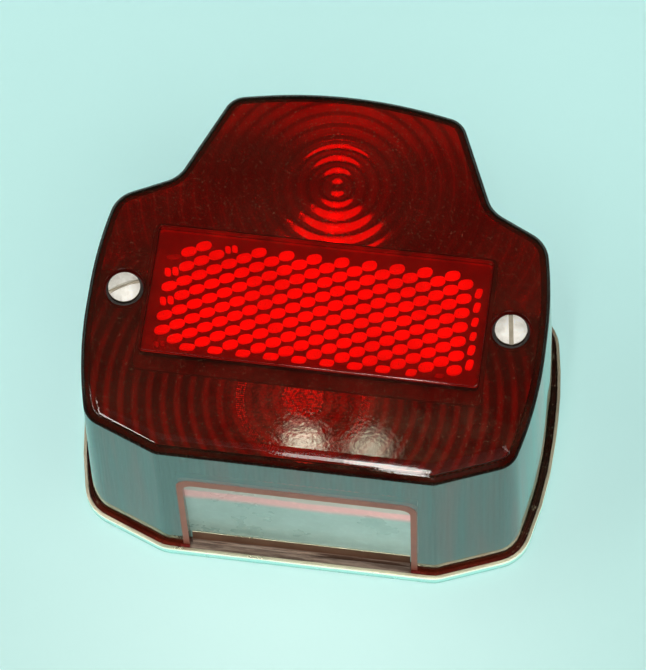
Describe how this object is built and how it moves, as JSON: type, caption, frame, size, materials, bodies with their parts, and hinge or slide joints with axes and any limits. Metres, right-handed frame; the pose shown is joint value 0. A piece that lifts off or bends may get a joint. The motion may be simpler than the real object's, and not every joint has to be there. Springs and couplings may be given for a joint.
{
  "type": "motorcycle tail lamp",
  "caption": "Red tail and stop lamp with an inset reflex reflector and a clear number plate window, on a pressed steel base with bayonet lamps inside.",
  "frame": {"origin": "midway between the two mounting holes, on the flat back of the base that lies against the machine", "axes": "+Z points out of the back through the red lens, +Y points to the top of the lamp as mounted (the number plate window faces -Y, down to the plate), and +X is across its width"},
  "size_m": [0.1316, 0.1191, 0.0648],
  "materials": {
    "red_lens": "moulded translucent dark red, glossy, lightly scratched",
    "reflex_red": "moulded transparent bright red with prisms behind",
    "backing_red": "dark red moulding",
    "clear_pane": "clear moulded plastic",
    "plated_steel": "pressed sheet, zinc plated and yellow passivated",
    "bright_steel": "bright plated sheet",
    "tinned_steel": "tinned sheet",
    "screw_zinc": "zinc plated, satin",
    "spring_steel": "drawn wire",
    "filament_wire": "drawn wire in a glass stem",
    "solder": "soft solder",
    "brass": "slightly dull",
    "rubber": "black rubber, aged",
    "laminate": "paper laminate",
    "black_glass": "black vitrified insulator",
    "lamp_glass": "clear blown glass"
  },
  "bodies": {
    "base": {"base_plate": "plated_steel", "base_gasket": "rubber", "lens_posts": "plated_steel", "reflector": "bright_steel", "light_partition": "bright_steel", "partition_rivets": "brass", "socket_rivets": "brass", "earth_terminal": "brass", "earth_rivet": "brass", "stop_socket_shell": "tinned_steel", "stop_socket_insulator": "laminate", "stop_terminal": "brass", "stop_contact_spring": "spring_steel", "tail_socket_shell": "tinned_steel", "tail_socket_insulator": "laminate", "tail_terminal": "brass", "tail_contact_spring": "spring_steel"},
    "lens_unit": {"lens": "red_lens", "reflex_reflector": "reflex_red", "reflex_backing": "backing_red", "window_pane": "clear_pane"},
    "left_washer": {"left_screw_washer": "rubber"},
    "left_screw": {"left_lens_screw": "screw_zinc"},
    "right_washer": {"right_screw_washer": "rubber"},
    "right_screw": {"right_lens_screw": "screw_zinc"},
    "stop_contact": {"stop_contact_disc": "laminate", "stop_contact_pin": "brass"},
    "stop_lamp": {"stop_lamp_cap": "brass", "stop_lamp_insulator": "black_glass", "stop_lamp_contact": "solder", "stop_lamp_glass": "lamp_glass", "stop_lamp_filament": "filament_wire"},
    "tail_contact": {"tail_contact_disc": "laminate", "tail_contact_pin": "brass"},
    "tail_lamp": {"tail_lamp_cap": "brass", "tail_lamp_insulator": "black_glass", "tail_lamp_contact": "solder", "tail_lamp_glass": "lamp_glass", "tail_lamp_filament": "filament_wire"}
  },
  "joints": [
    {"name": "lens_lift", "type": "slide", "parent": "base", "child": "lens_unit", "axis": [0, 0, 1], "range_m": [0, 0.075]},
    {"name": "left_screw_rise", "type": "slide", "parent": "lens_unit", "child": "left_washer", "axis": [0, 0, 1], "range_m": [0, 0.012]},
    {"name": "left_screw_turn", "type": "hinge", "parent": "left_washer", "child": "left_screw", "pos_m": [-0.052, 0, 0.055], "axis": [0, 0, 1], "range_deg": [0, 5401]},
    {"name": "right_screw_rise", "type": "slide", "parent": "lens_unit", "child": "right_washer", "axis": [0, 0, 1], "range_m": [0, 0.012]},
    {"name": "right_screw_turn", "type": "hinge", "parent": "right_washer", "child": "right_screw", "pos_m": [0.052, 0, 0.055], "axis": [0, 0, 1], "range_deg": [0, 5401]},
    {"name": "stop_contact_push", "type": "slide", "parent": "base", "child": "stop_contact", "axis": [0, 0, 1], "range_m": [-0.0025, 0], "stiffness_N_per_m": 1500, "springref_m": 0.0015, "deforming": ["stop_contact_spring"]},
    {"name": "stop_lamp_turn", "type": "hinge", "parent": "stop_contact", "child": "stop_lamp", "pos_m": [0, 0.038, 0.017], "axis": [0, 0, 1], "range_deg": [0, 18]},
    {"name": "tail_contact_push", "type": "slide", "parent": "base", "child": "tail_contact", "axis": [0, 0, 1], "range_m": [-0.0025, 0], "stiffness_N_per_m": 1500, "springref_m": 0.0015, "deforming": ["tail_contact_spring"]},
    {"name": "tail_lamp_turn", "type": "hinge", "parent": "tail_contact", "child": "tail_lamp", "pos_m": [0, -0.027, 0.017], "axis": [0, 0, 1], "range_deg": [0, 18]}
  ],
  "couplings": [
    {"joint": "left_screw_turn", "follows": "left_screw_rise", "rad_per_m": 7854},
    {"joint": "right_screw_turn", "follows": "right_screw_rise", "rad_per_m": 7854}
  ]
}
